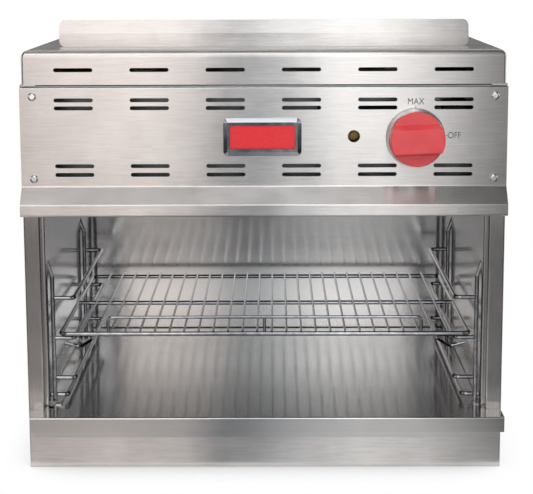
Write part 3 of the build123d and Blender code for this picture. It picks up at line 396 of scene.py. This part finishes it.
def surround():
    world = bpy.data.worlds.new("studio white")
    bpy.context.scene.world = world
    world.use_nodes = True
    tree = world.node_tree
    output = next(n for n in tree.nodes if n.type == "OUTPUT_WORLD")
    lighting = next(n for n in tree.nodes if n.type == "BACKGROUND")
    lighting.inputs[0].default_value = white
    lighting.inputs[1].default_value = studio["worldLight"]
    shown = addNode(tree, "Background", {0: white, 1: 1.0})
    links = {0: seenDirectly(tree), 1: lighting.outputs[0], 2: shown.outputs[0]}
    mixer = addNode(tree, "MixShader", links=links)
    tree.links.new(mixer.outputs[0], output.inputs[0])


def flatCard(name, size):
    shape = bmesh.new()
    bmesh.ops.create_grid(shape, x_segments=1, y_segments=1, size=0.5)
    bmesh.ops.scale(shape, vec=(size[0], size[1], 1), verts=shape.verts)
    card = addObject(name, meshFrom(name, shape))
    return card


def floorMaterial():
    values = {"Base Color": colour(studio["floor"]), "Roughness": studio["floorRough"]}
    made, tree, shader, _ = startMaterial("matt white floor", values)
    output = next(n for n in tree.nodes if n.type == "OUTPUT_MATERIAL")
    glow = addNode(tree, "Emission", {0: white, 1: 1.0})
    # the floor is plain where the object shades it, and white everywhere else
    reach = {"Distance": studio["shadeReach"]}
    openness = addNode(tree, "AmbientOcclusion", reach, samples=studio["shadeSamples"]).outputs["AO"]
    limits = {"From Min": 0.0, "From Max": studio["shadeEnd"]}
    clear = addNode(tree, "MapRange", limits, {"Value": openness}).outputs[0]
    factor = addNode(tree, "Math", links={0: seenDirectly(tree), 1: clear}, operation="MULTIPLY").outputs[0]
    mixer = addNode(tree, "MixShader", links={0: factor, 1: shader.outputs[0], 2: glow.outputs[0]})
    tree.links.new(mixer.outputs[0], output.inputs[0])
    return made


def tentTones(tree):
    # the tones fan out from the object, so that each stands over one place on the panel
    place = addNode(tree, "TexCoord").outputs["Object"]
    middle = {1: studio["mirroredAt"]}
    offset = addNode(tree, "VectorMath", middle, {0: place}, operation="SUBTRACT").outputs[0]
    noSideways = {1: (0, 1, 1)}
    away = addNode(tree, "VectorMath", noSideways, {0: offset}, operation="MULTIPLY").outputs[0]
    distance = addNode(tree, "VectorMath", links={0: away}, operation="LENGTH").outputs["Value"]
    growth = {1: 1 / studio["lensDistance"], 2: 1.0}
    fan = addNode(tree, "Math", growth, {0: distance}, operation="MULTIPLY_ADD").outputs[0]
    across = addNode(tree, "SeparateXYZ", links={0: offset}).outputs[0]
    onPanel = addNode(tree, "Math", links={0: across, 1: fan}, operation="DIVIDE").outputs[0]
    end = studio["toneEnd"]
    share = addNode(tree, "MapRange", {"From Min": -end, "From Max": end}, {"Value": onPanel}).outputs[0]
    ramp = addNode(tree, "ValToRGB", links={0: share})
    stops = ramp.color_ramp.elements
    while len(stops) > 1:
        stops.remove(stops[-1])
    for index, (mirrored, tone) in enumerate(studio["tones"]):
        position = (mirrored + end) / (2 * end)
        stop = stops[0] if index == 0 else stops.new(position)
        stop.position, stop.color = position, colour(tone)
    return ramp.outputs[0]


def glowingCard(name, glow, toned):
    made = bpy.data.materials.new(name)
    made.use_nodes = True
    tree = made.node_tree
    tree.nodes.clear()
    light = addNode(tree, "Emission", {0: white, 1: glow})
    if toned:
        tree.links.new(tentTones(tree), light.inputs[0])
    output = addNode(tree, "OutputMaterial")
    tree.links.new(light.outputs[0], output.inputs[0])
    return made


def hangCard(name, card, shown):
    piece = flatCard("card_" + name, card["size"])
    piece.data.transform(Matrix.Translation(card["at"]) @ Matrix.Rotation(math.radians(card["tilt"]), 4, "X"))
    piece.data.materials.append(shown)
    piece.visible_camera = False
    piece.visible_diffuse = False
    piece.visible_transmission = False
    piece.visible_shadow = False


surround()
floor = flatCard("studio_floor", (studio["floorSize"], studio["floorSize"]))
floor.data.materials.append(floorMaterial())
for name, card in studio["cards"].items():
    hangCard(name, card, glowingCard("tent " + name, card["glow"], True))
for name, card in studio["plainCards"].items():
    hangCard(name, card, glowingCard("grey card " + name, card["glow"], False))

for name, lamp in studio["lamps"].items():
    light = bpy.data.lights.new(name, "AREA")
    light.energy, light.size = lamp["watts"], lamp["size"]
    holder = addObject("lamp_" + name, light)
    holder.visible_glossy = False  # the cards stand for the lamps in the metal
    holder.location = lamp["at"]
    holder.rotation_euler = (Vector(lamp["at"]) - Vector(lamp["aim"])).to_track_quat("Z", "Y").to_euler()
print("studio lit")

# The camera, matched to the photograph's frame of 533 x 494 pixels. Its place and clip distances are
# in metres, its angles in radians, its sensor in millimetres and its focal length in those pixels.
view = {"at": (0.0144, -2.03, 0.6484), "turn": 0.0061, "pitch": 0.152, "roll": -0.0036,
        "focal": 1445.7, "frameWidth": 533, "sensor": 36.0, "shiftUp": -0.12, "clip": (0.05, 60.0)}
lens = bpy.data.cameras.new("camera")
lens.sensor_width = view["sensor"]
lens.lens = view["focal"] / view["frameWidth"] * lens.sensor_width
lens.shift_y = view["shiftUp"]
lens.clip_start, lens.clip_end = view["clip"]
camera = addObject("camera", lens)
aimed = Matrix.Rotation(view["turn"], 4, "Z") @ Matrix.Rotation(math.pi / 2 - view["pitch"], 4, "X")
camera.matrix_world = Matrix.Translation(view["at"]) @ aimed @ Matrix.Rotation(view["roll"], 4, "Z")
bpy.context.scene.camera = camera
bpy.context.scene.view_settings.view_transform = "Standard"
print("camera placed")
